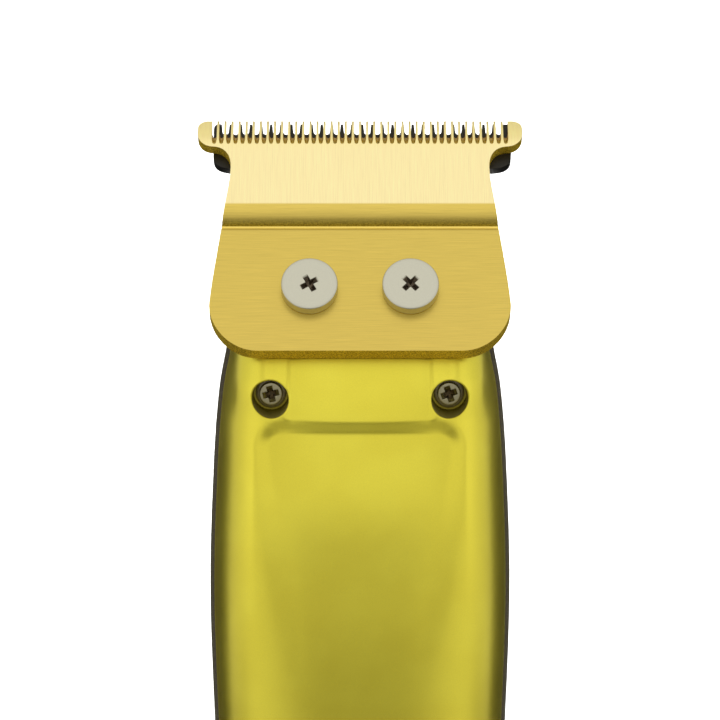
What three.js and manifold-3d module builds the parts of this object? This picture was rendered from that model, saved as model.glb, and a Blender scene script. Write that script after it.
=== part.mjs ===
// Cordless T-blade hair clipper: a battery handle, a linear magnetic motor, and a wide blade pair on a slanted seat.
// Millimetres, +Z up. It stands on its base, the blades are at the top and the front faces -Y.
import * as THREE from "three";
import { mergeVertices } from "three/addons/utils/BufferGeometryUtils.js";
import Module from "manifold-3d";

const wasm = await Module();
wasm.setup();

// ---- driving dimensions ----
const SEAT_Y = -12; // lower back edge of the fixed blade, which the slanted seat starts from
const SEAT_Z = 134;
const LEAN = THREE.MathUtils.degToRad(34.3); // the blades lean back by this from upright
const GAP = 0.04; // air between pieces that touch

const BLADE_HALF = 20; // half the width over the teeth
const BLADE_TIP = 31.5; // from the lower edge to the tooth tips, along the blade
const PLATE_THICK = 2.2;
const PAD_FRONT = 3.4; // front face of the raised toothed pad, from the seat plane
const PAD_BACK = 1.55; // ground face that the moving blade slides on
const FIXED_PITCH = 0.875;
const FIXED_GAPS = 42;
const MOVING_PITCH = 1.25;
const MOVING_TEETH = 29;
const MOVING_HALF = 18.35;
const REST_OFFSET = 0.27; // the moving set is parked this far to the right of the middle
const BLADE_SCREW_X = 6.12;
const BLADE_SCREW_V = 8.3;

const CAP_TOP = 8; // height of the end cap
const HEAD_TOP = 146.5; // flat deck at the top of the rear shell
const PARTING_Y = -3; // plane where the front and rear shells meet
const SKIN_INSET = 0.5; // the front shell sits this far inside the rear shell's edge
const SHELL_SCREW_X = 10.84;
const SHELL_SCREW_Z = 129.2;
const SHELL_SCREW_FLOOR = -8; // depth of the floor that the screws pull on
const BUTTON_Z = 62;
const LENS_Z = 50;
const MOTOR_Y = 2.6; // the motor, the drive pin and the yoke share this plane
const CELL_RADIUS = 9;
const CELL_Y = 2.3;

// ---- materials ----
function material(color, metalness, roughness) {
  return new THREE.MeshStandardMaterial({ color, metalness, roughness });
}
const LIME_GOLD = [0xc9bd3a, 0.8, 0.35];
const BLADE_GOLD = [0xd8bd5c, 0.9, 0.3];
const DARK_GREY = [0x45423d, 0.1, 0.6];
const BLACK_STEEL = [0x1c1b1a, 0.6, 0.4];
const BLACK_PLASTIC = [0x202020, 0, 0.6];
const NICKEL = [0xbfbba8, 0.9, 0.3];
const STEEL = [0x9a9a9a, 0.9, 0.35];
const COPPER = [0xb5653a, 0.8, 0.4];
const MAGNET = [0x8e9296, 0.9, 0.3];
const BRASS = [0xc9a44a, 0.9, 0.35];
const BOARD_GREEN = [0x1f5a38, 0, 0.5];
const CELL_BLUE = [0x2d5f9a, 0, 0.5];
const RUBBER = [0x2a2a2a, 0, 0.9];
const CLEAR = [0xdfe9ef, 0, 0.1];

// ---- solids ----
function toSolid(geometry) {
  const bare = (geometry.index ? geometry.toNonIndexed() : geometry).clone();
  bare.deleteAttribute("normal");
  bare.deleteAttribute("uv");
  const merged = mergeVertices(bare, 1e-4);
  const mesh = new wasm.Mesh({
    numProp: 3,
    vertProperties: merged.attributes.position.array,
    triVerts: new Uint32Array(merged.index.array),
  });
  return new wasm.Manifold(mesh);
}

function toGeometry(solid) {
  const mesh = solid.getMesh();
  return new THREE.BufferGeometry()
    .setAttribute("position", new THREE.BufferAttribute(mesh.vertProperties, 3))
    .setIndex(new THREE.BufferAttribute(mesh.triVerts, 1));
}

const joined = (...solids) => solids.reduce((whole, next) => whole.add(next));
const minus = (solid, ...tools) => tools.reduce((rest, tool) => rest.subtract(tool), solid);

// A box between two corners.
function box(x0, y0, z0, x1, y1, z1) {
  const geometry = new THREE.BoxGeometry(x1 - x0, y1 - y0, z1 - z0);
  geometry.translate((x0 + x1) / 2, (y0 + y1) / 2, (z0 + z1) / 2);
  return toSolid(geometry);
}

// A round bar from one end to the other along one axis.
function bar(axis, radius, from, to, x, y, z, sides = 24) {
  const geometry = new THREE.CylinderGeometry(radius, radius, to - from, sides);
  const middle = (from + to) / 2;
  if (axis === "x") geometry.rotateZ(-Math.PI / 2).translate(middle, y, z);
  if (axis === "y") geometry.translate(x, middle, z);
  if (axis === "z") geometry.rotateX(Math.PI / 2).translate(x, y, middle);
  return toSolid(geometry);
}

// An outline in X and Y, extruded along Z.
function prism(points, z0, z1) {
  const shape = new THREE.Shape(points.map(([x, y]) => new THREE.Vector2(x, y)));
  const geometry = new THREE.ExtrudeGeometry(shape, { depth: z1 - z0, bevelEnabled: false });
  return toSolid(geometry.translate(0, 0, z0));
}

// A profile in Y and Z, extruded along X.
function ridge(points, x0, x1) {
  const shape = new THREE.Shape(points.map(([y, z]) => new THREE.Vector2(y, z)));
  const geometry = new THREE.ExtrudeGeometry(shape, { depth: x1 - x0, bevelEnabled: false });
  const turn = new THREE.Matrix4().makeBasis(
    new THREE.Vector3(0, 1, 0),
    new THREE.Vector3(0, 0, 1),
    new THREE.Vector3(1, 0, 0),
  );
  return toSolid(geometry.applyMatrix4(turn).translate(x0, 0, 0));
}

// A turned piece, from a profile of radius and height, with its axis along Z.
function turned(profile, sides = 32) {
  const points = profile.map(([radius, height]) => new THREE.Vector2(radius, height));
  return toSolid(new THREE.LatheGeometry(points, sides).rotateX(Math.PI / 2));
}

// The blade frame: X across, Y up along the blade, Z out of its face, from the seat's lower edge.
const HEAD = new THREE.Matrix4()
  .makeRotationX(Math.PI / 2 - LEAN)
  .setPosition(0, SEAT_Y, SEAT_Z);
function onHead(solid) {
  return toSolid(toGeometry(solid).applyMatrix4(HEAD));
}

function moved(solid, x, y, z) {
  return solid.translate([x, y, z]);
}

// A rounded rectangle's corners, for sockets and lenses.
function roundedRectangle(width, height, radius, steps = 5) {
  const points = [];
  for (let corner = 0; corner < 4; corner++) {
    const sx = corner === 0 || corner === 3 ? 1 : -1;
    const sy = corner < 2 ? 1 : -1;
    for (let i = 0; i <= steps; i++) {
      const angle = ((corner + i / steps) * Math.PI) / 2;
      points.push([
        sx * (width / 2 - radius) + radius * Math.cos(angle),
        sy * (height / 2 - radius) + radius * Math.sin(angle),
      ]);
    }
  }
  return points;
}

// ---- the handle's form ----
// Half width, front depth and rear depth at each height, joined by smooth curves.
const WIDTHS = [
  [0, 15.9], [3, 16.5], [30, 16.4], [60, 16.9], [86, 18.1], [104, 18.6],
  [120, 18.08], [129, 17.36], [134, 16.45], [141, 15.3], [146.5, 13.2],
];
const FRONTS = [
  [0, 12.7], [3, 13.3], [30, 13.3], [60, 14.4], [86, 16.4], [104, 17.7],
  [116, 17.5], [125, 15.9], [134, 11.85], [146.5, 5],
];
const REARS = [
  [0, 12.9], [3, 13.5], [30, 13.7], [60, 14.7], [86, 16.3], [104, 17.1],
  [118, 16.8], [132, 15.2], [139, 13.5], [143.5, 11.6], [146.5, 9.2],
];

function along(table, z) {
  const last = table.length - 1;
  let i = 0;
  while (i < last - 1 && z > table[i + 1][0]) i++;
  const [z0, v0] = table[i];
  const [z1, v1] = table[i + 1];
  const slopeAt = (k) => {
    const a = table[Math.max(k - 1, 0)];
    const b = table[Math.min(k + 1, last)];
    return (b[1] - a[1]) / (b[0] - a[0]);
  };
  const span = z1 - z0;
  const t = (z - z0) / span;
  const rise = t * t * (3 - 2 * t);
  return (
    v0 + (v1 - v0) * rise +
    slopeAt(i) * span * t * (1 - t) * (1 - t) -
    slopeAt(i + 1) * span * t * t * (1 - t)
  );
}

function smooth(from, to, value) {
  const t = Math.min(Math.max((value - from) / (to - from), 0), 1);
  return t * t * (3 - 2 * t);
}

// What stands out of the plain front (+) or is dished into it (-), at one point.
function relief(x, z) {
  const side = Math.abs(x);
  const tower =
    smooth(8.2, 9.5, side) * smooth(16.2, 12.4, side) * smooth(125.6, 131.6, z);
  const edge = 12.6 - 0.06 * (125 - z);
  const dish =
    smooth(edge + 2.2, edge - 3, side) * smooth(127, 123.8, z) * smooth(84, 112, z);
  return 1.7 * tower - 0.7 * dish;
}

// Places across the front, as shares of the half width; they gather where the front turns or has an edge.
const FRONT_SHARES = [0, 0.15, 0.3, 0.46, 0.52, 0.62, 0.7, 0.75, 0.84, 0.91, 0.96, 0.99, 1];
const REAR_STEPS = 16;

// One horizontal section of the handle, pulled in by the given amounts.
function section(z, side, front, rear, detail) {
  const w = along(WIDTHS, z) - side;
  const f = along(FRONTS, z) - front;
  const r = along(REARS, z) - rear;
  const shares = [...FRONT_SHARES.slice(1).map((s) => -s).reverse(), ...FRONT_SHARES];
  const points = shares.map((s) => {
    const depth = f * Math.pow(Math.max(1 - Math.pow(Math.abs(s), 3), 0), 1 / 3);
    const raised = detail ? relief(s * w, z) * Math.min(depth / (0.4 * f), 1) : 0;
    return [s * w, -(depth + raised)];
  });
  for (let i = 1; i < REAR_STEPS; i++) {
    const angle = (i / REAR_STEPS) * Math.PI;
    const c = Math.cos(angle);
    points.push([
      w * Math.sign(c) * Math.pow(Math.abs(c), 2 / 2.7),
      r * Math.pow(Math.sin(angle), 2 / 2.7),
    ]);
  }
  return points;
}

// A solid through sections at the given heights.
function loft(heights, side, front, rear, detail) {
  const rings = heights.map((z) => section(z, side, front, rear, detail));
  const count = rings[0].length;
  const positions = [];
  rings.forEach((ring, k) => ring.forEach(([x, y]) => positions.push(x, y, heights[k])));
  const index = [];
  for (let k = 0; k + 1 < rings.length; k++) {
    for (let i = 0; i < count; i++) {
      const a = k * count + i;
      const b = k * count + ((i + 1) % count);
      index.push(a, b, b + count, a, b + count, a + count);
    }
  }
  const flat = (ring) => ring.map(([x, y]) => new THREE.Vector2(x, y));
  const top = (rings.length - 1) * count;
  for (const [a, b, c] of THREE.ShapeUtils.triangulateShape(flat(rings[0]), [])) {
    index.push(c, b, a);
  }
  for (const [a, b, c] of THREE.ShapeUtils.triangulateShape(flat(rings.at(-1)), [])) {
    index.push(top + a, top + b, top + c);
  }
  const geometry = new THREE.BufferGeometry();
  geometry.setAttribute("position", new THREE.Float32BufferAttribute(positions, 3));
  return toSolid(geometry.setIndex(index));
}

const SHELL_HEIGHTS = [
  CAP_TOP + GAP, 20, 38, 56, 72, 86, 96, 106, 114, 120, 123.6, 124.8, 126, 127.2, 130.5, 134,
  137.5, 141, 144, HEAD_TOP,
];
const CAVITY_HEIGHTS = [CAP_TOP - 1, 30, 60, 86, 106, 120, 130, 137, 141.5, HEAD_TOP - 1.8];

const seatBox = (low, high) => onHead(box(-40, -260, low, 40, 60, high));
const belowSeat = (depth) => seatBox(-260, -depth);
const shellScrewBar = (side, radius, from, to) =>
  bar("y", radius, from, to, side * SHELL_SCREW_X, 0, SHELL_SCREW_Z);

const pieces = new Map();
function add(name, solid, look) {
  pieces.set(name, new THREE.Mesh(toGeometry(solid), material(...look)));
}

// ---- housing ----
function frontShell() {
  const outer = loft(SHELL_HEIGHTS, SKIN_INSET, 0, 0, true)
    .intersect(box(-30, -40, 0, 30, PARTING_Y, 200))
    .intersect(belowSeat(0.1));
  const cavity = loft(CAVITY_HEIGHTS, SKIN_INSET + 1.9, 2.7, 2, false).intersect(belowSeat(2));
  let shell = minus(outer, cavity);
  for (const side of [-1, 1]) {
    shell = shell.add(shellScrewBar(side, 3.1, -16, SHELL_SCREW_FLOOR + 1.4).intersect(outer));
    shell = minus(
      shell,
      shellScrewBar(side, 2.22, -20, SHELL_SCREW_FLOOR),
      shellScrewBar(side, 1.15, -20, 0),
    );
  }
  return minus(
    shell,
    onHead(box(-11.2, 3.6, -8, 11.2, 24, 2)),
    bar("y", 4.85, -20, -8, 0, 0, BUTTON_Z, 32),
    bar("y", 6.1, -20, -13.5, 0, 0, BUTTON_Z, 32),
    lensPrism(0.1, -20, -8),
  );
}

function rearShell() {
  const outer = loft(SHELL_HEIGHTS, 0, 0, 0, false)
    .intersect(box(-30, PARTING_Y + GAP, 0, 30, 40, 200))
    .intersect(belowSeat(0.1));
  const cavity = loft(CAVITY_HEIGHTS, 2.2, 2.7, 2, false);
  const posts = [-1, 1].map((side) =>
    joined(
      shellScrewBar(side, 2.6, PARTING_Y + 0.3, 14).intersect(outer),
      bar("z", 2.5, CAP_TOP + GAP, 16, side * 10.8, 3, 0).intersect(outer),
      box(Math.min(side * 10.8, side * 17), 2, CAP_TOP + GAP, Math.max(side * 10.8, side * 17), 4, 16)
        .intersect(outer),
    ),
  );
  const screwHoles = [-1, 1].map((side) =>
    joined(shellScrewBar(side, 1, -6, 4), bar("z", 1, 0, 14, side * 10.8, 3, 0)),
  );
  const deckOpening = box(-11.6, -8, 140, 11.6, 6, 150);
  return minus(joined(minus(outer, cavity), ...posts), ...screwHoles, deckOpening);
}

function endCap() {
  const heights = [0, 0.8, 3, CAP_TOP];
  const outer = loft(heights, 0.15, 0.1, 0.1, false);
  const cavity = loft([2.2, CAP_TOP + 1], 2.2, 2.2, 2.2, false);
  const posts = [-1, 1].map((side) => bar("z", 3.2, 1, CAP_TOP, side * 10.8, 3, 0).intersect(outer));
  const screwHoles = [-1, 1].map((side) =>
    joined(bar("z", 2.4, -1, 2.4, side * 10.8, 3, 0), bar("z", 1.2, 0, 10, side * 10.8, 3, 0)),
  );
  const port = moved(prism(roundedRectangle(9.7, 3.9, 1.9), -1, 4), 0, 1.5, 0);
  return minus(joined(minus(outer, cavity), ...posts), ...screwHoles, port);
}

function lensPrism(margin, from, to) {
  const outline = roundedRectangle(6.4 + 2 * margin, 1.8 + 2 * margin, 0.9 + margin);
  const upright = toGeometry(prism(outline, -to, -from)).rotateX(Math.PI / 2);
  return toSolid(upright.translate(0, 0, LENS_Z));
}

add("front_shell", frontShell(), LIME_GOLD);
add("rear_shell", rearShell(), DARK_GREY);
add("end_cap", endCap(), DARK_GREY);

// ---- blades, in the blade frame ----
// Right half of the fixed blade's outline, from the middle of its lower edge up to the tooth tips.
function fixedOutline() {
  const shape = new THREE.Shape();
  shape.moveTo(0, 0).lineTo(12.4, 0);
  shape.bezierCurveTo(15.3, 0, 18.1, 2.7, 18.28, 6);
  shape.bezierCurveTo(18.1, 8.7, 17.3, 14, 16.87, 16.9);
  shape.bezierCurveTo(16.6, 19.1, 15.8, 22.6, 15.86, 24.8);
  shape.bezierCurveTo(15.95, 26.2, 16.7, 27.15, 18.1, 27.2);
  shape.bezierCurveTo(19.2, 27.25, 20, 28, 20, 29.2);
  shape.lineTo(20, 30.7);
  shape.bezierCurveTo(20, 31.2, 19.8, BLADE_TIP, 19.3, BLADE_TIP);
  const right = shape.getPoints(5).map((p) => [p.x, p.y]);
  const left = right.slice(1).reverse().map(([x, y]) => [-x, y]);
  return [...right, ...left];
}

// The cut between two teeth: its closed end slopes, because it is ground with a round wheel.
function toothGap(x, tipHalf, rootHalf, end, low, high, slope) {
  const outline = [
    [x - rootHalf * 0.6, end], [x + rootHalf * 0.6, end], [x + rootHalf, end + rootHalf * 0.7],
    [x + tipHalf, BLADE_TIP], [x + tipHalf, 36], [x - tipHalf, 36],
    [x - tipHalf, BLADE_TIP], [x - rootHalf, end + rootHalf * 0.7],
  ];
  const shear = new THREE.Matrix4().makeShear(0, 0, 0, 0, 0, slope);
  return toSolid(toGeometry(prism(outline, low, high)).applyMatrix4(shear));
}

function fixedBlade() {
  const profile = [
    [0, 0], [18, 0], [19.2, PAD_BACK], [BLADE_TIP, PAD_BACK], [BLADE_TIP, 1.95],
    [30.4, 2.55], [27.8, PAD_FRONT], [19.5, PAD_FRONT], [18.8, 3.26], [17.1, 2.32],
    [16.4, PLATE_THICK], [0.25, PLATE_THICK], [0, 1.95],
  ];
  let blade = prism(fixedOutline(), -1, 5).intersect(ridge(profile, -21, 21));
  const gaps = [];
  for (let i = 0; i < FIXED_GAPS; i++) {
    const x = (i - (FIXED_GAPS - 1) / 2) * FIXED_PITCH;
    gaps.push(toothGap(x, 0.32, 0.24, 30.9, 0, 4, -0.97));
  }
  blade = minus(blade, ...gaps);
  for (const side of [-1, 1]) {
    blade = minus(blade, bar("z", 1.75, -1, 5, side * BLADE_SCREW_X, BLADE_SCREW_V, 0));
  }
  return blade;
}

function movingBlade() {
  const half = MOVING_HALF;
  const right = [
    [11, 20.2], [11, 25.1], [half - 1.5, 25.1], [half - 0.5, 25.5], [half, 26.4],
    [half, 30.6], [half - 0.5, 31.3],
  ];
  const left = right.map(([x, y]) => [-x, y]).reverse();
  const profile = [
    [20.2, 0.1], [28.4, 0.1], [31.3, 1.1], [31.3, PAD_BACK - GAP], [20.2, PAD_BACK - GAP],
  ];
  let blade = prism([...right, ...left], -1, 5).intersect(ridge(profile, -21, 21));
  const gaps = [];
  for (let i = 0; i < MOVING_TEETH - 1; i++) {
    const x = (i - (MOVING_TEETH - 2) / 2) * MOVING_PITCH;
    gaps.push(toothGap(x, 0.5, 0.4, 29.9, -1, 3, 0));
  }
  return minus(blade, ...gaps);
}

function phillipsScrew({ radius, height, shank, length, cross, crossWidth, crossDepth, turn, sides }) {
  const screw = turned([
    [0, -length], [shank - 0.25, -length], [shank, 0.3 - length], [shank, 0],
    [radius, 0], [radius, height - 0.22], [radius - 0.22, height], [0, height],
  ], sides);
  const slot = box(-cross / 2, -crossWidth / 2, height - crossDepth, cross / 2, crossWidth / 2, height + 1);
  const recess = slot.add(slot.rotate([0, 0, 90])).rotate([0, 0, turn]);
  return minus(screw, recess);
}

function bladeScrew(side, turn) {
  const screw = phillipsScrew({
    radius: 3.43, height: 1.55, shank: 1.42, length: 5.6, cross: 2.4, crossWidth: 0.66,
    crossDepth: 0.9, turn, sides: 36,
  });
  return onHead(moved(screw, side * BLADE_SCREW_X, BLADE_SCREW_V, PLATE_THICK + GAP));
}

add("fixed_blade", onHead(fixedBlade()), BLADE_GOLD);
add("moving_blade", onHead(moved(movingBlade(), REST_OFFSET, 0, 0)), BLACK_STEEL);
add("blade_screw_left", bladeScrew(-1, 30), NICKEL);
add("blade_screw_right", bladeScrew(1, 45), NICKEL);

// The threaded block that the blade is screwed to.
const bracketProfile = [
  [4.2, -GAP], [12.3, -GAP], [12.3, -1.7], [15.4, -1.7], [15.4, -4.4], [4.2, -4.4],
];
const bracket = minus(
  ridge(bracketProfile, -10.7, 10.7),
  ...[-1, 1].map((side) => bar("z", 1.5, -6, 1, side * BLADE_SCREW_X, BLADE_SCREW_V, 0)),
);
add("blade_bracket", onHead(bracket), STEEL);

// A sprung fork that holds the moving blade against the fixed one.
const springProfile = [
  [12.7, -1.62], [14.5, -1.62], [21.5, -0.5], [22.3, 0.04], [21.9, 0.04], [21.2, -0.2],
  [14.3, -1.2], [12.7, -1.2],
];
const spring = minus(
  ridge(springProfile, -9.4, 9.4),
  box(-7, 14.4, -5, 7, 30, 5),
);
add("tension_spring", onHead(spring), STEEL);

// ---- drive ----
const pinSlot = box(-1.53, MOTOR_Y - 1.55, 140, 1.53, MOTOR_Y + 6, 151.85);
const yoke = minus(onHead(box(-5.4, 20.7, -3.6, 5.4, 24, 0.1 - GAP)), pinSlot);
add("cutter_yoke", moved(yoke, REST_OFFSET, 0, 0), BLACK_PLASTIC);
add("drive_pin", bar("z", 1.43, 109.3, 151.4, REST_OFFSET, MOTOR_Y, 0), STEEL);

const armature = minus(
  box(-9.6, MOTOR_Y - 4.6, 105.2, 9.6, MOTOR_Y + 4.6, 112),
  bar("z", 1.47, 109.2, 113, 0, MOTOR_Y, 0),
  bar("x", 1.04, -12, 12, 0, MOTOR_Y, 107.4),
);
add("armature", moved(armature, REST_OFFSET, 0, 0), STEEL);
for (const [side, word] of [[-1, "left"], [1, "right"]]) {
  const magnet = box(-2.6, MOTOR_Y - 4.4, 103.4, 2.6, MOTOR_Y + 4.4, 105.2 - GAP);
  add("magnet_" + word, moved(magnet, side * 4.2 + REST_OFFSET, 0, 0), MAGNET);
}
add("guide_rod", bar("x", 1, -13.6, 13.6, 0, MOTOR_Y, 107.4), STEEL);

const core = minus(
  box(-10.4, MOTOR_Y - 4.5, 91.2, 10.4, MOTOR_Y + 4.5, 103),
  box(-7.4, -10, 94.4, -3.1, 20, 104),
  box(3.1, -10, 94.4, 7.4, 20, 104),
);
add("stator_core", core, STEEL);
const coilHole = box(-3.15, MOTOR_Y - 4.6, 90, 3.15, MOTOR_Y + 4.6, 110);
add("coil", minus(box(-7, MOTOR_Y - 7.6, 94.8, 7, MOTOR_Y + 7.6, 102.2), coilHole), COPPER);

// ---- inner frame ----
const PLATE_BACK = -5.9;
const PLATE_FRONT = -7.2;
function chassis() {
  const frame = joined(
    box(-11.9, PLATE_FRONT, 15, 11.9, PLATE_BACK, 90),
    box(-13.2, PLATE_FRONT, 87, 13.2, PLATE_BACK, 124),
    box(-7, PLATE_FRONT, 123, 7, PLATE_BACK, 134.7),
    box(-13.2, PLATE_BACK - 0.5, 88.4, 13.2, 9.5, 90.4),
    box(-7.4, PLATE_BACK - 0.5, 15, 7.4, 9.5, 16.6),
    box(-12.6, PLATE_BACK - 0.5, 121.6, 12.6, 8, 123.4),
    box(-13.2, PLATE_BACK - 0.5, 90, -11.6, 8, 112),
    box(11.6, PLATE_BACK - 0.5, 90, 13.2, 8, 112),
  );
  return minus(
    frame,
    box(-4.4, -9, 18, 4.4, 0, 86.6),
    bar("x", 1.02, -20, 20, 0, MOTOR_Y, 107.4),
    box(-3.6, MOTOR_Y - 2.2, 118, 3.6, MOTOR_Y + 2.2, 126),
  );
}
add("chassis", chassis(), BLACK_PLASTIC);

const seal = minus(box(-11.3, 0.9, 144.9, 11.3, 5.7, 146.2), box(-3.5, 0, 140, 3.8, 4.4, 150));
add("head_seal", seal, RUBBER);

// ---- power ----
const CELL_BOTTOM = 19.6;
const CELL_TOP = 84.4;
const cell = minus(
  joined(
    bar("z", CELL_RADIUS, CELL_BOTTOM, CELL_TOP, 0, CELL_Y, 0, 32),
    bar("z", 2.8, CELL_TOP - 1, CELL_TOP + 1.1, 0, CELL_Y, 0, 24),
  ),
);
add("battery_cell", cell, CELL_BLUE);
const strapTop = joined(
  box(-2.5, CELL_Y - 2.5, CELL_TOP + 1.1 + GAP, 2.5, CELL_Y + 2.5, CELL_TOP + 1.5),
  box(-1.5, CELL_Y - 1.5, CELL_TOP + 1.4, 1.5, CELL_Y + 1.5, 88.4 - GAP),
);
add("battery_contact_top", strapTop, BRASS);
const strapBottom = joined(
  box(-3.5, CELL_Y - 3.5, CELL_BOTTOM - 0.5, 3.5, CELL_Y + 3.5, CELL_BOTTOM - GAP),
  box(-1.5, CELL_Y - 1.5, 16.6 + GAP, 1.5, CELL_Y + 1.5, CELL_BOTTOM - 0.4),
);
add("battery_contact_bottom", strapBottom, BRASS);

const BOARD_FRONT = -8.5;
add("circuit_board", box(-9, BOARD_FRONT, 24, 9, PLATE_FRONT - GAP, 84), BOARD_GREEN);
const tactSwitch = joined(
  box(-3, -10, BUTTON_Z - 3, 3, BOARD_FRONT - GAP, BUTTON_Z + 3),
  bar("y", 1.75, -10.3, -9.9, 0, 0, BUTTON_Z),
);
add("tact_switch", tactSwitch, BLACK_PLASTIC);
add("status_led", box(-1, -9.3, LENS_Z - 0.6, 1, BOARD_FRONT - GAP, LENS_Z + 0.6), CLEAR);
add("status_lens", lensPrism(0, -14.05, -10.4), CLEAR);

const button = turned([
  [0, 10.95], [5.6, 10.95], [5.6, 11.45], [4.6, 11.45], [4.6, 14.75], [4.3, 15.05],
  [2.6, 15.0], [0, 14.9],
], 40);
const toFront = new THREE.Matrix4().makeRotationX(Math.PI / 2).setPosition(0, 0, BUTTON_Z);
add("power_button", toSolid(toGeometry(button).applyMatrix4(toFront)), LIME_GOLD);
const ring = turned([
  [4.9, 13.56], [6.05, 13.56], [6.05, 14.7], [5.8, 14.95], [5.15, 14.95], [4.9, 14.7],
  [4.9, 13.56],
], 40);
add("button_ring", toSolid(toGeometry(ring).applyMatrix4(toFront)), DARK_GREY);

const socketOuter = prism(roundedRectangle(9, 3.3, 1.6), 1, 8.6);
const socketInner = prism(roundedRectangle(8.4, 2.7, 1.3), 0, 7.9);
add("charging_socket", moved(minus(socketOuter, socketInner), 0, 1.5, 0), STEEL);
add("charging_tongue", box(-3.3, 1.15, 2.4, 3.3, 1.85, 7.9 - GAP), BLACK_PLASTIC);
add("charging_board", box(-7.5, -4.6, 8.6 + GAP, 7.5, 7.6, 9.8), BOARD_GREEN);

// ---- fasteners ----
for (const [side, word] of [[-1, "left"], [1, "right"]]) {
  const washer = minus(
    shellScrewBar(side, 1.85, SHELL_SCREW_FLOOR - 0.4, SHELL_SCREW_FLOOR - GAP),
    shellScrewBar(side, 1.1, -10, 0),
  );
  add("shell_washer_" + word, washer, STEEL);
  const shellScrew = phillipsScrew({
    radius: 1.43, height: 0.95, shank: 0.93, length: 11, cross: 1.5, crossWidth: 0.42,
    crossDepth: 0.55, turn: side * 20, sides: 24,
  });
  const place = new THREE.Matrix4()
    .makeRotationX(Math.PI / 2)
    .setPosition(side * SHELL_SCREW_X, SHELL_SCREW_FLOOR - 0.4 - GAP, SHELL_SCREW_Z);
  add("shell_screw_" + word, toSolid(toGeometry(shellScrew).applyMatrix4(place)), NICKEL);
  const capScrew = phillipsScrew({
    radius: 2.1, height: 1.3, shank: 0.93, length: 10.5, cross: 2.2, crossWidth: 0.5,
    crossDepth: 0.7, turn: 20, sides: 24,
  });
  const upward = new THREE.Matrix4()
    .makeRotationX(Math.PI)
    .setPosition(side * 10.8, 3, 2.4 - GAP);
  add("cap_screw_" + word, toSolid(toGeometry(capScrew).applyMatrix4(upward)), STEEL);
}

const group = new THREE.Group();
for (const [name, mesh] of pieces) {
  mesh.name = name;
  group.add(mesh);
}
export default group;
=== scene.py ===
import math

import bmesh
import bpy
from mathutils import Matrix, Vector


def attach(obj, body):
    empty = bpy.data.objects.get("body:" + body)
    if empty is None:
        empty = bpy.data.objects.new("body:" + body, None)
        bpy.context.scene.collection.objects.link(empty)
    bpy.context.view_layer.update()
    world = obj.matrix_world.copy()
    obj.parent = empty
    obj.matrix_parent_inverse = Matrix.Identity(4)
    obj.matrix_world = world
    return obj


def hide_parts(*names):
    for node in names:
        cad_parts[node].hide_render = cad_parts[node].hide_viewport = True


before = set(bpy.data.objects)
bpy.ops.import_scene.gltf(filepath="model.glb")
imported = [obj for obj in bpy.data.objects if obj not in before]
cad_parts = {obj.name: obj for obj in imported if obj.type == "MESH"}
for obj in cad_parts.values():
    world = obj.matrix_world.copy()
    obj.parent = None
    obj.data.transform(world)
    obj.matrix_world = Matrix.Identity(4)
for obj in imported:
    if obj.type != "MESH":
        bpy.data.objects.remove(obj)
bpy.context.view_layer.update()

MM = 0.001

# The blades lie on a slanted seat that starts at the back of the fixed blade's lower edge.
SEAT_Y = -12
SEAT_Z = 134
LEAN = math.radians(34.3)
BLADE_UP = Vector((0, math.sin(LEAN), math.cos(LEAN)))
BLADE_OUT = Vector((0, -math.cos(LEAN), math.sin(LEAN)))
SEAT = Vector((0, SEAT_Y, SEAT_Z))

BLADE_TIP = 31.5
PLATE_THICK = 2.2
PAD_FRONT = 3.4
PAD_BACK = 1.55
BLADE_SCREW_X = 6.12
BLADE_SCREW_V = 8.3
REST_OFFSET = 0.27

CAP_TOP = 8
HEAD_TOP = 146.5
HEAD_ROUNDING = 0.9
JOINT_GAP = 0.04
PARTING_Y = -3
SKIN_INSET = 0.5
FRONT_WALL = 1.3
REAR_WALL = 1.5
WELL_X = 10.84
WELL_Z = 129.2
WELL_RADIUS = 2.22
WELL_FLOOR = -8
WELL_EDGE = 0.22
BUTTON_Z = 62
LENS_Z = 50
CAP_SCREW_X = 10.8
CAP_SCREW_Y = 3

# The grid of the front skin: columns from the middle to a screw well's patch, over it, and on to the edge.
MIDDLE_COLUMNS = 16
PATCH_STEPS = 24
SIDE_COLUMNS = 18
PATCH_SHARES = (7.44 / 17.4, 14.24 / 17.4)
PATCH_HALF = 3.4
TOP_ROWS = 14
THIN = 0.1


# ---- meshes ----
def new_piece(name, points, faces):
    """A mesh object from points in millimetres."""
    mesh = bpy.data.meshes.new(name)
    mesh.from_pydata([Vector(p) * MM for p in points], [], faces)
    mesh.validate()
    piece = bpy.data.objects.new(name, mesh)
    bpy.context.scene.collection.objects.link(piece)
    return piece


def settle(piece):
    """Applies the modifiers of a piece."""
    graph = bpy.context.evaluated_depsgraph_get()
    mesh = bpy.data.meshes.new_from_object(piece.evaluated_get(graph))
    piece.modifiers.clear()
    piece.data = mesh
    return piece


def combine(piece, tool, operation="DIFFERENCE"):
    """Cuts a piece with a tool, or keeps what both share."""
    modifier = piece.modifiers.new("cut", "BOOLEAN")
    modifier.operation = operation
    modifier.solver = "EXACT"
    modifier.object = tool
    settle(piece)
    bpy.data.objects.remove(tool)
    return piece


def outward(piece):
    """Turns all faces of a closed piece outwards."""
    sheet = bmesh.new()
    sheet.from_mesh(piece.data)
    bmesh.ops.remove_doubles(sheet, verts=sheet.verts, dist=1e-7)
    bmesh.ops.recalc_face_normals(sheet, faces=sheet.faces)
    sheet.to_mesh(piece.data)
    sheet.free()
    return piece


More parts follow.
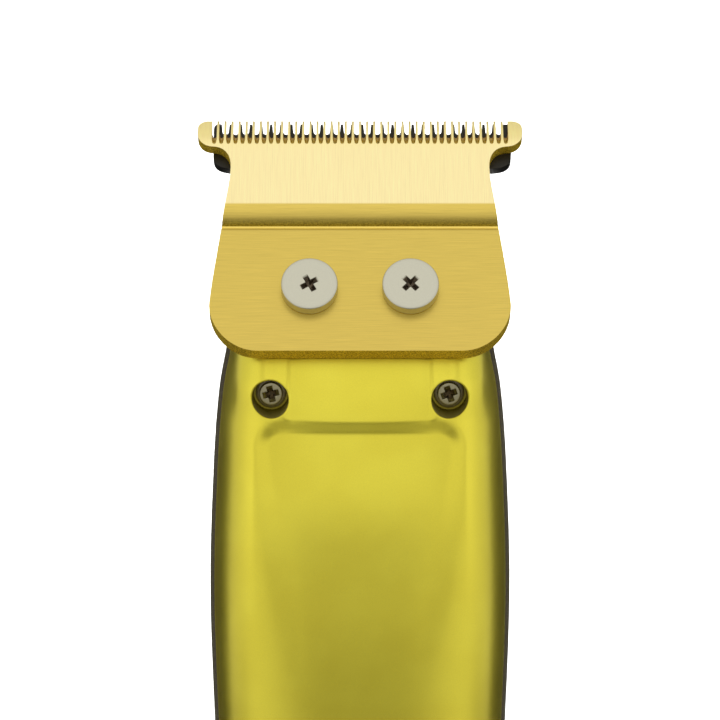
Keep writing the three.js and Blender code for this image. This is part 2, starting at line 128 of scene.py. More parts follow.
def crisp(piece, degrees=32):
    """Smooth faces with sharp edges where the surface turns by more than the angle."""
    sheet = bmesh.new()
    sheet.from_mesh(piece.data)
    for face in sheet.faces:
        face.smooth = True
    for edge in sheet.edges:
        edge.smooth = not (
            len(edge.link_faces) == 2 and edge.calc_face_angle(0) > math.radians(degrees)
        )
    sheet.to_mesh(piece.data)
    sheet.free()
    return piece


def evened(piece):
    """Shades large flat faces evenly up to their rounded edges."""
    modifier = piece.modifiers.new("shading", "WEIGHTED_NORMAL")
    modifier.keep_sharp = True
    modifier.weight = 100
    return piece


def rounded_edges(piece, width, steps=2, degrees=35):
    """Rounds the edges of a piece by a modifier; width in millimetres."""
    modifier = piece.modifiers.new("rounding", "BEVEL")
    modifier.width = width * MM
    modifier.segments = steps
    modifier.limit_method = "ANGLE"
    modifier.angle_limit = math.radians(degrees)
    return piece


def shelled(piece, near, wall, shares=None):
    """Turns a sheet's faces outwards, judged at a place, and thickens it inwards.

    Shares of the full wall, by point, make it thinner there.
    """
    sheet = bmesh.new()
    sheet.from_mesh(piece.data)
    bmesh.ops.recalc_face_normals(sheet, faces=sheet.faces)
    spot = Vector(near) * MM
    face = min(sheet.faces, key=lambda f: (f.calc_center_median() - spot).length)
    if face.normal.y * near[1] < 0:
        bmesh.ops.reverse_faces(sheet, faces=sheet.faces)
    sheet.to_mesh(piece.data)
    sheet.free()
    modifier = piece.modifiers.new("wall", "SOLIDIFY")
    modifier.thickness = wall * MM
    modifier.offset = -1
    if shares:
        group = piece.vertex_groups.new(name="thickness")
        for i in range(len(piece.data.vertices)):
            group.add([i], shares.get(i, 1), "REPLACE")
        modifier.vertex_group = group.name
    return settle(piece)


def ring_faces(rows, count, closed=True):
    """Quads between rows of equal length."""
    faces = []
    for k in range(rows - 1):
        for i in range(count if closed else count - 1):
            a = k * count + i
            b = k * count + (i + 1) % count
            faces.append((a, b, b + count, a + count))
    return faces


def capped(name, points, rows, count):
    """A closed piece from rows of equal length, with a face over each end."""
    faces = ring_faces(rows, count)
    faces.append(tuple(reversed(range(count))))
    faces.append(tuple(range(len(points) - count, len(points))))
    return outward(new_piece(name, points, faces))


def prism(name, outline, low, high):
    """An outline in X and Y, from one height to another."""
    points = [(x, y, z) for z in (low, high) for x, y in outline]
    return capped(name, points, 2, len(outline))


def ridge(name, profile, half):
    """A profile in Y and Z, along the whole of X."""
    points = [(x, y, z) for x in (-half, half) for y, z in profile]
    return capped(name, points, 2, len(profile))


def turned(name, profile, sides=96):
    """A turned piece about Z. Its profile of radius and height ends on the axis, or where it starts."""
    rows = len(profile)
    closed = profile[0] == profile[-1]
    if closed:
        rows -= 1
    points = []
    for radius, height in profile[:rows]:
        for i in range(sides):
            angle = 2 * math.pi * i / sides
            points.append((radius * math.cos(angle), radius * math.sin(angle), height))
    faces = ring_faces(rows, sides)
    if closed:
        last = (rows - 1) * sides
        for i in range(sides):
            j = (i + 1) % sides
            faces.append((last + i, last + j, j, i))
    return outward(new_piece(name, points, faces))


def corner(radius_at, height_at, radius, start, end, steps=5):
    """Points of a rounded corner in a profile, with angles in degrees."""
    made = []
    for i in range(steps + 1):
        angle = math.radians(start + (end - start) * i / steps)
        made.append((radius_at + radius * math.cos(angle), height_at + radius * math.sin(angle)))
    return made


def bezier(a, b, c, d, steps=12):
    """Points of a curve after its start."""
    made = []
    for i in range(1, steps + 1):
        t = i / steps
        weights = ((1 - t) ** 3, 3 * t * (1 - t) ** 2, 3 * t * t * (1 - t), t**3)
        made.append(tuple(sum(w * p[k] for w, p in zip(weights, (a, b, c, d))) for k in (0, 1)))
    return made


def place(piece, matrix):
    """Moves a piece's mesh; the matrix is in millimetres."""
    scaled = matrix.copy()
    scaled.translation = matrix.translation * MM
    piece.data.transform(scaled)
    return piece


def facing_front(x, y, z):
    """Lays a turned piece with its axis towards the front, its foot at a place."""
    matrix = Matrix.Rotation(math.pi / 2, 4, "X")
    matrix.translation = Vector((x, y, z))
    return matrix


SIDEWAYS = Vector((1, 0, 0))
HEAD = Matrix(
    [[*row, shift] for row, shift in zip(Matrix((SIDEWAYS, BLADE_UP, BLADE_OUT)).transposed(), SEAT)]
    + [[0, 0, 0, 1]]
)


def finish_piece(piece, finish, body, slot, *nodes):
    """Gives a piece its finish and its body, and hides the CAD nodes that it stands for."""
    piece.data.materials.clear()
    piece.data.materials.append(finish)
    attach(piece, body)
    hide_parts(*nodes)
    return piece


# ---- the handle's form, in millimetres ----
WIDTHS = [
    (0, 15.9), (3, 16.5), (30, 16.4), (60, 16.9), (86, 18.1), (104, 18.6),
    (120, 18.08), (129, 17.36), (134, 16.45), (141, 15.3), (146.5, 13.2),
]
FRONTS = [
    (0, 12.7), (3, 13.3), (30, 13.3), (60, 14.4), (86, 16.4), (104, 17.7),
    (116, 17.5), (125, 15.75), (134, 12.3), (146.5, 5),
]
REARS = [
    (0, 12.9), (3, 13.5), (30, 13.7), (60, 14.7), (86, 16.3), (104, 17.1),
    (118, 16.8), (132, 15.2), (139, 13.5), (143.5, 11.6), (146.5, 9.2),
]


def along(table, z):
    """The table's smooth curve at a height."""
    last = len(table) - 1
    i = 0
    while i < last - 1 and z > table[i + 1][0]:
        i += 1

    def slope(k):
        a = table[max(k - 1, 0)]
        b = table[min(k + 1, last)]
        return (b[1] - a[1]) / (b[0] - a[0])

    span = table[i + 1][0] - table[i][0]
    t = (z - table[i][0]) / span
    rise = t * t * (3 - 2 * t)
    value = table[i][1] + (table[i + 1][1] - table[i][1]) * rise
    return value + slope(i) * span * t * (1 - t) ** 2 - slope(i + 1) * span * t * t * (1 - t)


def smooth(start, end, value):
    t = min(max((value - start) / (end - start), 0), 1)
    return t * t * (3 - 2 * t)


def relief(x, z):
    """What stands out of the plain front, or is dished into it."""
    side = abs(x)
    tower = smooth(8.3, 9.4, side) * smooth(16.8, 14.6, side) * smooth(125.6, 131.6, z)
    groove = smooth(1.1, 0.2, abs(side - 10.5)) * smooth(131.2, 132.2, z)
    corner_radius = 3
    beside = max(side - 11.9 + 0.06 * (122 - z) + corner_radius, 0)
    above = max(z - 126.1 + corner_radius, 0)
    reach = math.hypot(beside, above) - corner_radius
    softness = 1 + 0.11 * max(122 - z, 0)
    dish = smooth(1.05 * softness, -1.2 * softness, reach) * smooth(88, 112, z)
    return 1.4 * tower - 0.35 * groove - 0.95 * dish


def front_depth(x, z):
    """How far the front shell's skin stands in front of the handle's middle plane."""
    half = along(WIDTHS, z) - SKIN_INSET
    share = min(abs(x) / half, 1)
    front = along(FRONTS, z)
    depth = front * max(1 - share**3, 0) ** (1 / 3)
    return depth + relief(x, z) * smooth(-PARTING_Y, 6.5, depth)


def skin_depth(x, z):
    """The front skin's depth where the slanted seat also cuts it, with a soft edge."""
    plain = front_depth(x, z)
    seat = -SEAT_Y - 0.12 - (z - SEAT_Z) * (math.tan(LEAN) if z > SEAT_Z else 0.5)
    blend = max(0.5 - abs(plain - seat), 0) / 0.5
    return min(plain, seat) - 0.125 * blend * blend


def seat_height(x):
    """Where a column of the front skin meets the slanted seat, at least just behind the blade's edge."""
    low, high = 134.5, HEAD_TOP
    for _ in range(40):
        middle = (low + high) / 2
        out = (front_depth(x(middle), middle) + SEAT_Y) * math.cos(LEAN)
        out += (middle - SEAT_Z) * math.sin(LEAN)
        if out > -0.1:
            high = middle
        else:
            low = middle
    return low


def skin_share(column, z):
    """Share of the half width, for a column counted from the middle."""
    inner, outer = PATCH_SHARES
    if column <= MIDDLE_COLUMNS:
        return inner * column / MIDDLE_COLUMNS
    if column <= MIDDLE_COLUMNS + PATCH_STEPS:
        return inner + (outer - inner) * (column - MIDDLE_COLUMNS) / PATCH_STEPS
    end = (1 - (abs(PARTING_Y) / along(FRONTS, z)) ** 3) ** (1 / 3)
    t = (column - MIDDLE_COLUMNS - PATCH_STEPS) / SIDE_COLUMNS
    return outer + (end - outer) * math.sin(t * math.pi / 2)


def skin_rows():
    """Heights of the front skin's rows up to the top of the patches, and the number of rows below them."""
    rows = [CAP_TOP + JOINT_GAP + (60 - CAP_TOP) * i / 20 for i in range(20)]
    rows += [60 + 56 * i / 40 for i in range(40)]
    rows += [116 + (WELL_Z - PATCH_HALF - 116) * i / 28 for i in range(28)]
    below = len(rows)
    rows += [WELL_Z - PATCH_HALF + 2 * PATCH_HALF * i / PATCH_STEPS for i in range(PATCH_STEPS + 1)]
    return rows, below


def well_rings(side, rim, points, shares):
    """Rings of points from a patch's rim down into its screw well. The well's own wall is thin."""
    angles = [math.atan2(points[i][2] - WELL_Z, points[i][0] - side * WELL_X) for i in rim]
    mouth = WELL_RADIUS + WELL_EDGE
    rings = [rim]

    def around(radius):
        return [
            (side * WELL_X + radius * math.cos(angle), WELL_Z + radius * math.sin(angle)) for angle in angles
        ]

    def add_ring(share, spots):
        ring = range(len(points), len(points) + len(spots))
        shares.update(dict.fromkeys(ring, share))
        points.extend(spots)
        rings.append(ring)

    starts = [points[i] for i in rim]
    steps = 14
    for step in range(1, steps + 1):
        t = step / steps
        spots = []
        for (rim_x, _, rim_z), (mouth_x, mouth_z) in zip(starts, around(mouth)):
            x = rim_x * (1 - t) + mouth_x * t
            z = rim_z * (1 - t) + mouth_z * t
            spots.append((x, -skin_depth(x, z), z))
        add_ring(1 - (1 - THIN) * smooth(0, 0.7, t), spots)
    brims = [-skin_depth(x, z) for x, z in around(mouth)]
    for degrees in range(15, 91, 15):
        turn = math.radians(degrees)
        sunk = WELL_EDGE * (1 - math.cos(turn))
        inside = around(mouth - WELL_EDGE * math.sin(turn))
        add_ring(THIN, [(x, brim + sunk, z) for (x, z), brim in zip(inside, brims)])
    lips = [points[i][1] for i in rings[-1]]
    for share, t in ((1, 0.35), (1, 0.7), (1, 0.97), (0.96, 1), (0.75, 1), (0.5, 1)):
        inside = around(WELL_RADIUS * share)
        add_ring(THIN, [(x, lip + (WELL_FLOOR - lip) * t, z) for (x, z), lip in zip(inside, lips)])
    return rings


def front_shell():
    """The front skin with its two screw wells, thickened inwards."""
    columns = MIDDLE_COLUMNS + PATCH_STEPS + SIDE_COLUMNS
    rows, patch_row = skin_rows()
    last_patch_row = len(rows) - 1
    points = []
    index = {}
    for row in range(len(rows) + TOP_ROWS):
        for column in range(-columns, columns + 1):
            sign = -1 if column < 0 else 1

            def x_at(z):
                return sign * skin_share(abs(column), z) * (along(WIDTHS, z) - SKIN_INSET)

            if row <= last_patch_row:
                z = rows[row]
            else:
                z = rows[-1] + (seat_height(x_at) - rows[-1]) * (row - last_patch_row) / TOP_ROWS
            x = x_at(z)
            index[row, column] = len(points)
            points.append((x, min(-skin_depth(x, z), PARTING_Y), z))

    def in_patch(row, column):
        beside = MIDDLE_COLUMNS <= column < MIDDLE_COLUMNS + PATCH_STEPS
        return beside and patch_row <= row < last_patch_row

    faces = []
    for row in range(len(rows) + TOP_ROWS - 1):
        for column in range(-columns, columns):
            mirrored = -column - 1 if column < 0 else column
            if not in_patch(row, mirrored):
                faces.append((
                    index[row, column], index[row, column + 1],
                    index[row + 1, column + 1], index[row + 1, column],
                ))

    shares = {}
    near, far = MIDDLE_COLUMNS, MIDDLE_COLUMNS + PATCH_STEPS
    border = [(patch_row, near + i) for i in range(PATCH_STEPS)]
    border += [(patch_row + i, far) for i in range(PATCH_STEPS)]
    border += [(last_patch_row, far - i) for i in range(PATCH_STEPS)]
    border += [(last_patch_row - i, near) for i in range(PATCH_STEPS)]
    for side in (-1, 1):
        rim = [index[row, side * column] for row, column in border]
        rings = well_rings(side, rim, points, shares)
        for outer, inner in zip(rings, rings[1:]):
            for k in range(len(rim)):
                n = (k + 1) % len(rim)
                faces.append((outer[k], outer[n], inner[n], inner[k]))

    shell = new_piece("front-shell-skin", points, faces)
    shelled(shell, (0, -17, 100), FRONT_WALL, shares)
    hole = turned("hole", [(0, 8), (5.95, 8), (5.95, 20), (0, 20)])
    combine(shell, place(hole, facing_front(0, 0, BUTTON_Z)))
    slot = prism("slot", rounded_rectangle(6.6, 2.0, 0.98), 8, 20)
    combine(shell, place(slot, facing_front(0, 0, LENS_Z)))
    return crisp(shell, 40)


def rear_section(z):
    """Points of the rear shell's outline, from the right-hand parting edge round the back."""
    half = along(WIDTHS, z)
    front = along(FRONTS, z)
    rear = along(REARS, z)
    made = []
    for i in range(4):
        y = (PARTING_Y + JOINT_GAP) * (1 - i / 4)
        made.append((half * (1 - (abs(y) / front) ** 3) ** (1 / 3), y))
    for i in range(65):
        angle = math.pi * i / 64
        c, s = math.cos(angle), math.sin(angle)
        made.append((
            half * math.copysign(abs(c) ** (2 / 2.7), c),
            rear * max(s, 0) ** (2 / 2.7),
        ))
    for i in range(3, -1, -1):
        x, y = made[i]
        made.append((-x, y))
    return made


def rear_shell():
    """The rear skin, rounded over into the deck round the drive pin, thickened inwards."""
    rings = []
    shoulder = HEAD_TOP - HEAD_ROUNDING
    heights = [CAP_TOP + JOINT_GAP + (134 - CAP_TOP) * i / 90 for i in range(90)]
    heights += [134 + (shoulder - 134) * i / 20 for i in range(21)]
    for z in heights:
        rings.append([(x, y, z) for x, y in rear_section(z)])
    for step in range(1, 7):
        angle = math.radians(15 * step)
        inset = HEAD_ROUNDING * (1 - math.cos(angle))
        z = shoulder + HEAD_ROUNDING * math.sin(angle)
        rings.append([
            (x * (1 - inset / 14), y - (inset if y > 0 else 0) * min(y / 6, 1), z)
            for x, y in rear_section(shoulder)
        ])
    deck = rings[-1]
    for t in (0.3, 0.65, 1):
        ring = []
        for x, y, z in deck:
            factor = min(11.6 / max(abs(x), 0.01), 6 / max(y, 0.01), 1)
            ring.append((x * (1 - t + t * factor), y * (1 - t + t * factor) if y > 0 else y, z))
        rings.append(ring)
    count = len(rings[0])
    points = [p for ring in rings for p in ring]
    shell = new_piece("rear-shell-skin", points, ring_faces(len(rings), count, closed=False))
    shelled(shell, (0, 17, 100), REAR_WALL)
    return crisp(shell, 40)


def rounded_rectangle(width, height, radius, steps=10):
    made = []
    for k, (sx, sy) in enumerate(((1, 1), (-1, 1), (-1, -1), (1, -1))):
        for i in range(steps + 1):
            angle = math.pi / 2 * (k + i / steps)
            made.append((
                sx * (width / 2 - radius) + radius * math.cos(angle),
                sy * (height / 2 - radius) + radius * math.sin(angle),
            ))
    return made


def cap_section(z, inset):
    """The whole outline of the end cap at a height."""
    half = along(WIDTHS, z) - 0.15 - inset
    front = along(FRONTS, z) - 0.1 - inset
    rear = along(REARS, z) - 0.1 - inset
    made = []
    for i in range(128):
        angle = 2 * math.pi * i / 128
        c, s = math.cos(angle), math.sin(angle)
        power = 2 / 3 if s < 0 else 2 / 2.7
        depth = front if s < 0 else rear
        made.append((
            half * math.copysign(abs(c) ** power, c),
            depth * math.copysign(abs(s) ** power, s),
        ))
    return made


def end_cap():
    """The cap at the foot, open at the top, with its port and screw recesses."""
    rings = []
    for turn in range(0, 91, 15):
        angle = math.radians(turn)
        z = 0.9 * (1 - math.cos(angle))
        rings.append([(x, y, z) for x, y in cap_section(0.9, 0.9 * (1 - math.sin(angle)))])
    for z in (1.6, 2.4, 3.4, 4.5, 5.6, 6.8, CAP_TOP - 0.25):
        rings.append([(x, y, z) for x, y in cap_section(z, 0)])
    rings.append([(x, y, CAP_TOP) for x, y in cap_section(CAP_TOP, 0.25)])
    rings.append([(x, y, CAP_TOP) for x, y in cap_section(CAP_TOP, 2)])
    rings.append([(x, y, 2.2) for x, y in cap_section(2.2, 2)])
    points = [p for ring in rings for p in ring]
    cap = capped("end-cap-moulding", points, len(rings), len(rings[0]))
    port = prism("port", rounded_rectangle(9.7, 3.9, 1.9), -1, 4)
    combine(cap, place(port, Matrix.Translation((0, 1.5, 0))))
    for side in (-1, 1):
        recess = turned("recess", [(0, -1), (2.4, -1), (2.4, 2.9), (0, 2.9)], 64)
        combine(cap, place(recess, Matrix.Translation((side * CAP_SCREW_X, CAP_SCREW_Y, 0))))
    rounded_edges(cap, 0.18, 2, 50)
    settle(cap)
    return crisp(cap, 40)


# ---- blades ----
def fixed_outline():
    right = [(0, 0), (6, 0), (12.4, 0)]
    right += bezier((12.4, 0), (15.3, 0), (18.1, 2.7), (18.28, 6), 18)
    right += bezier((18.28, 6), (18.1, 8.7), (17.3, 14), (16.87, 16.9))
    right += bezier((16.87, 16.9), (16.6, 19.1), (15.8, 22.6), (15.86, 24.8))
    right += bezier((15.86, 24.8), (15.95, 26.2), (16.7, 27.15), (18.1, 27.2))
    right += bezier((18.1, 27.2), (19.2, 27.25), (20, 28), (20, 29.2))
    right.append((20, 30.1))
    right += bezier((20, 30.1), (20, 30.9), (19.5, BLADE_TIP), (18.5, BLADE_TIP + 0.05), 10)
    return right + [(-x, y) for x, y in reversed(right[1:])]


def tooth_gaps(name, pitch, count, tip_half, root_half, end, low, high, slope):
    """The cuts between teeth, as one tool. Their closed ends slope as a grinding wheel leaves them."""
    points = []
    faces = []
    for i in range(count):
        x = (i - (count - 1) / 2) * pitch
        outline = corner(x, end + root_half, root_half, 180, 360, 8)
        waist = (root_half + tip_half) / 2 - 0.02
        outline += [(x + waist, (end + BLADE_TIP) / 2), (x + tip_half, BLADE_TIP)]
        outline += [(x + tip_half, 36), (x - tip_half, 36)]
        outline += [(x - tip_half, BLADE_TIP), (x - waist, (end + BLADE_TIP) / 2)]
        base = len(points)
        size = len(outline)
        points += [(px, py + slope * z, z) for z in (low, high) for px, py in outline]
        faces += [tuple(base + v for v in face) for face in ring_faces(2, size)]
        faces.append(tuple(base + v for v in reversed(range(size))))
        faces.append(tuple(base + size + v for v in range(size)))
    return outward(new_piece(name, points, faces))


def rounded_outside(piece, width, shortest=9):
    """Rounds a blade's sharp edges before its teeth are cut, but near the tips only the long ones."""
    sheet = bmesh.new()
    sheet.from_mesh(piece.data)
    weight = sheet.edges.layers.float.new("bevel_weight_edge")
    for edge in sheet.edges:
        if len(edge.link_faces) == 2 and edge.calc_face_angle(0) > math.radians(40):
            middle = (edge.verts[0].co + edge.verts[1].co) / 2 / MM
            if middle.y < 26.9 or edge.calc_length() > shortest * MM:
                edge[weight] = 1
    sheet.to_mesh(piece.data)
    sheet.free()
    rounded_edges(piece, width)
    piece.modifiers["rounding"].limit_method = "WEIGHT"
    return settle(piece)


def fixed_blade():
    profile = [(0, 0), (18, 0), (19.2, PAD_BACK), (BLADE_TIP, PAD_BACK), (BLADE_TIP, 1.95)]
    profile += [(30.4, 2.55)]
    profile += bezier((30.4, 2.55), (29.6, 3.0), (28.8, 3.38), (27.6, PAD_FRONT), 8)
    profile += [(19.4, PAD_FRONT)]
    profile += [(19.32, 3.36)]
    profile += bezier((19.32, 3.36), (18.3, 3.22), (17.3, 2.8), (16.85, 2.1), 16)
    profile += bezier((16.85, 2.1), (16.75, 2.05), (16.65, 2.06), (16.5, 2.1), 4)
    profile += bezier((16.5, 2.1), (16.4, 2.16), (16.3, PLATE_THICK), (16.0, PLATE_THICK), 4)
    profile += [(0, PLATE_THICK)]
    blade = prism("fixed-blade-comb", fixed_outline(), -1, 5)
    combine(blade, ridge("side", profile, 21), "INTERSECT")
    for side in (-1, 1):
        hole = turned("hole", [(0, -1), (1.75, -1), (1.75, 5), (0, 5)], 48)
        combine(blade, place(hole, Matrix.Translation((side * BLADE_SCREW_X, BLADE_SCREW_V, 0))))
    rounded_outside(blade, 0.16)
    combine(blade, tooth_gaps("gaps", 0.875, 42, 0.3, 0.225, 30.86, 0, 4, -0.97))
    evened(crisp(blade, 30))
    return place(blade, HEAD)


def moving_blade():
    half = 18.35
    right = [(11, 20.2), (11, 25.1), (half - 2.4, 25.1)]
    right += bezier((half - 2.4, 25.1), (half - 1.1, 25.15), (half, 25.5), (half, 26.9), 14)
    right += [(half, 30.6)]
    right += bezier((half, 30.6), (half, 31), (half - 0.2, 31.3), (half - 0.6, 31.3), 5)
    outline = right + [(-x, y) for x, y in reversed(right)]
    profile = [(20.2, 0.1), (28.4, 0.1), (31.3, 1.1), (31.3, 1.51), (20.2, 1.51)]
    blade = prism("moving-blade-cutter", outline, -1, 5)
    combine(blade, ridge("side", profile, 21), "INTERSECT")
    rounded_outside(blade, 0.14)
    combine(blade, tooth_gaps("gaps", 1.25, 28, 0.5, 0.38, 29.85, -1, 3, 0))
    evened(crisp(blade, 30))
    return place(blade, HEAD @ Matrix.Translation((REST_OFFSET, 0, 0)))


# ---- screws, washers and buttons ----
def cross_recess(size, width, top, depth, turn):
    """A tapered cross, the tool for a screw's drive."""
    tool = None
    for quarter in (0, 90):
        points = []
        for z, long_half, wide_half in (
            (top + 0.05, size / 2, width / 2),
            (top - depth * 0.75, size * 0.27, width * 0.36),
            (top - depth, size * 0.12, width * 0.2),
        ):
            points += [
                (long_half, wide_half, z), (-long_half, wide_half, z),
                (-long_half, -wide_half, z), (long_half, -wide_half, z),
            ]
        faces = ring_faces(3, 4) + [(3, 2, 1, 0), (8, 9, 10, 11)]
        part = outward(new_piece("cross", points, faces))
        place(part, Matrix.Rotation(math.radians(quarter + turn), 4, "Z"))
        tool = part if tool is None else combine(tool, part, "UNION")
    return tool


def screw(name, radius, height, dome, shank, length, cross, cross_width, cross_depth, turn):
    """A screw about Z, with turned rings for its thread and a cross in its slightly domed head."""
    edge = 0.12 * height
    profile = [(0, -length), (shank - 0.25, -length), (shank, 0.25 - length)]
    pitch = max(0.45, length / 14)
    z = 0.4 - length
    while z < -1.2:
        profile += [(shank, z), (shank - 0.16, z + pitch * 0.45), (shank, z + pitch * 0.9)]
        z += pitch
    profile += [(shank, -0.5), (shank, 0), (radius - 0.06, 0), (radius, 0.06)]
    profile += corner(radius - edge, height - dome - edge, edge, 0, 75, 5)
    for k in (0.9, 0.8, 0.6, 0.4, 0.2):
        profile.append((radius * k, height - dome * k * k * 0.9))
    profile.append((0, height))
    piece = turned(name, profile, 96)
    combine(piece, cross_recess(cross, cross_width, height, cross_depth, turn))
    rounded_edges(piece, 0.035 * radius / 1.4, 2, 45)
    settle(piece)
    return evened(crisp(piece, 35))


def washer(side):
    profile = [(1.12, 0.04), (1.8, 0.04), (1.85, 0.1), (1.85, 0.34), (1.79, 0.4), (1.18, 0.4)]
    profile += [(1.12, 0.34), (1.12, 0.04)]
    piece = turned(f"washer-{side}", profile, 72)
    return crisp(piece, 50)


def button():
    profile = [(0, 10.95), (5.6, 10.95), (5.6, 11.45), (4.6, 11.45), (4.6, 14.7)]
    profile += corner(4.3, 14.75, 0.3, 0, 90, 6)
    profile += [(4.0, 15.03), (3.4, 14.86), (2.6, 14.74), (1.3, 14.66), (0, 14.64)]
    return crisp(turned("power-button-cap", profile, 128), 50)


def button_ring():
    profile = [(4.9, 13.56), (6.05, 13.56), (6.05, 14.6)]
    profile += corner(5.75, 14.65, 0.3, 0, 90, 6)
    profile += corner(5.2, 14.65, 0.3, 90, 180, 6)
    profile += [(4.9, 13.56)]
    return crisp(turned("button-ring-bezel", profile, 128), 50)


# ---- finishes ----
class Wire:
    """A value in a finish. Arithmetic on it adds the nodes."""

    def __init__(self, finish, socket):
        self.finish = finish
        self.socket = socket

    def maths(self, operation, *values):
        return self.finish.wire("ShaderNodeMath", {"operation": operation}, dict(enumerate(values)))

    def __add__(self, other):
        return self.maths("ADD", self, other)

    __radd__ = __add__

    def __sub__(self, other):
        return self.maths("SUBTRACT", self, other)

    def __rsub__(self, other):
        return self.maths("SUBTRACT", other, self)

    def __mul__(self, other):
        return self.maths("MULTIPLY", self, other)

    __rmul__ = __mul__

    def __pow__(self, other):
        return self.maths("POWER", self, other)

    def __abs__(self):
        return self.maths("ABSOLUTE", self)

    def sine(self):
        return self.maths("SINE", self)

    def at_least(self, low):
        return self.maths("MAXIMUM", self, low)

    def step(self, start, end):
        """0 before start and 1 after end, with a soft change between."""
        return self.finish.wire(
            "ShaderNodeMapRange",
            {"interpolation_type": "SMOOTHSTEP"},
            {"Value": self, "From Min": start, "From Max": end, "To Min": 0.0, "To Max": 1.0},
        )


class Finish:
    """A procedural material on a Principled shader."""

    def __init__(self, name, **constants):
        self.material = bpy.data.materials.new(name)
        self.material.use_nodes = True
        self.tree = self.material.node_tree
        self.tree.nodes.clear()
        out = self.tree.nodes.new("ShaderNodeOutputMaterial")
        self.shader = self.tree.nodes.new("ShaderNodeBsdfPrincipled")
        self.tree.links.new(self.shader.outputs[0], out.inputs[0])
        self.set(**constants)

    def set(self, **values):
        """Sets or links the shader's own sockets; underscores stand for spaces."""
        for key, value in values.items():
            self.feed(self.shader.inputs[key.replace("_", " ")], value)

    def feed(self, socket, value):
        if isinstance(value, Wire):
            self.tree.links.new(value.socket, socket)
        elif socket.type == "RGBA" and len(value) == 3:
            socket.default_value = (*value, 1)
        else:
            socket.default_value = value

    def node(self, kind, settings=None, inputs=None):
        """Any node: its settings first, then the values or links of its sockets."""
        node = self.tree.nodes.new(kind)
        for key, value in (settings or {}).items():
            setattr(node, key, value)
        for key, value in (inputs or {}).items():
            self.feed(node.inputs[key], value)
        return node

    def wire(self, kind, settings=None, inputs=None, output=0):
        return Wire(self, self.node(kind, settings, inputs).outputs[output])

    def spot(self):
        """Place on the object, in millimetres."""
        place = self.wire("ShaderNodeTexCoord", output="Object")
        return self.wire("ShaderNodeVectorMath", {"operation": "SCALE"}, {0: place, "Scale": 1000.0})

    def split(self, vector):
        node = self.node("ShaderNodeSeparateXYZ", None, {0: vector})
        return [Wire(self, node.outputs[k]) for k in range(3)]

    def joined(self, x, y, z):
        return self.wire("ShaderNodeCombineXYZ", None, {0: x, 1: y, 2: z})

    def dot(self, vector, direction):
        settings = {"operation": "DOT_PRODUCT"}
        return self.wire("ShaderNodeVectorMath", settings, {0: vector, 1: direction}, "Value")

    def noise(self, place, scale, detail=2.0, roughness=0.5):
        inputs = {"Vector": place, "Scale": scale, "Detail": detail, "Roughness": roughness}
        return self.wire("ShaderNodeTexNoise", None, inputs)

    def cells(self, place, scale):
        return self.wire("ShaderNodeTexVoronoi", None, {"Vector": place, "Scale": scale})

    def mix(self, share, first, second):
        """Blends two colours."""
        inputs = {"Factor": share, 6: first, 7: second}
        return self.wire("ShaderNodeMix", {"data_type": "RGBA"}, inputs, 2)

    def tinted(self, colour, amount):
        """A colour made lighter or darker by a value."""
        return self.wire("ShaderNodeVectorMath", {"operation": "SCALE"}, {0: colour, "Scale": amount})

    def bumps(self, height, strength, distance):
        """Fine relief, its distance in millimetres."""
        inputs = {"Height": height, "Strength": strength, "Distance": distance * MM}
        self.set(Normal=self.wire("ShaderNodeBump", None, inputs))


def lime_gold():
    """Satin lime-gold lacquer over metal, with a fine metallic fleck."""
    made = Finish("lime-gold-lacquer", Metallic=1.0, Coat_Weight=0.2, Coat_Roughness=0.24)
    place = made.spot()
    fleck = made.noise(place, 9.0, 2.0, 0.6)
    drift = made.noise(place, 0.12, 2.0)
    pits = made.cells(place, 5.5)
    x, y, z = made.split(place)
    # Painted shade: the walls and floor of the screw wells are coloured a darker olive and made less
    # metallic.
    reach = ((abs(x) - WELL_X) ** 2 + (z - WELL_Z) ** 2) ** 0.5
    painted_well_shade = reach.step(WELL_RADIUS + 0.03, WELL_RADIUS + 0.005)
    deep = made.mix(drift.step(0.35, 0.65), (0.81, 0.695, 0.058), (0.845, 0.735, 0.065))
    made.set(Base_Color=made.mix(painted_well_shade, made.tinted(deep, 0.9 + 0.2 * fleck), (0.36, 0.30, 0.02)))
    made.set(Metallic=1 - 0.3 * painted_well_shade)
    made.set(Roughness=0.31 + 0.08 * fleck + 0.02 * drift)
    made.bumps(fleck * 0.6 + pits * 0.4, 0.12, 0.03)
    return made.material


def dark_grey():
    """Matt dark moulding with a fine grain."""
    made = Finish("dark-grey-moulding", Metallic=0.0, Coat_Weight=0.05, Coat_Roughness=0.4)
    place = made.spot()
    x, y, z = made.split(place)
    grain = made.noise(place, 7.0, 3.0, 0.6)
    broad = made.noise(place, 0.15, 2.0)
    knurl = (z * 8.5).sine() * (y * 8.5).sine()
    grip = z.step(112, 108) * z.step(12, 16)
    tone = made.mix(grain.step(0.3, 0.7), (0.05, 0.043, 0.033), (0.09, 0.078, 0.06))
    made.set(Base_Color=made.tinted(tone, 0.9 + 0.2 * broad))
    made.set(Roughness=0.5 + 0.16 * grain)
    made.bumps(grain * 0.3 + knurl * grip * 0.5, 0.5, 0.08)
    return made.material


def blade_frame(made):
    """Across, up and out of the blade, in millimetres."""
    place = made.spot()
    x, y, z = made.split(place)
    up = made.dot(place, BLADE_UP) - SEAT.dot(BLADE_UP)
    out = made.dot(place, BLADE_OUT) - SEAT.dot(BLADE_OUT)
    return x, up, out


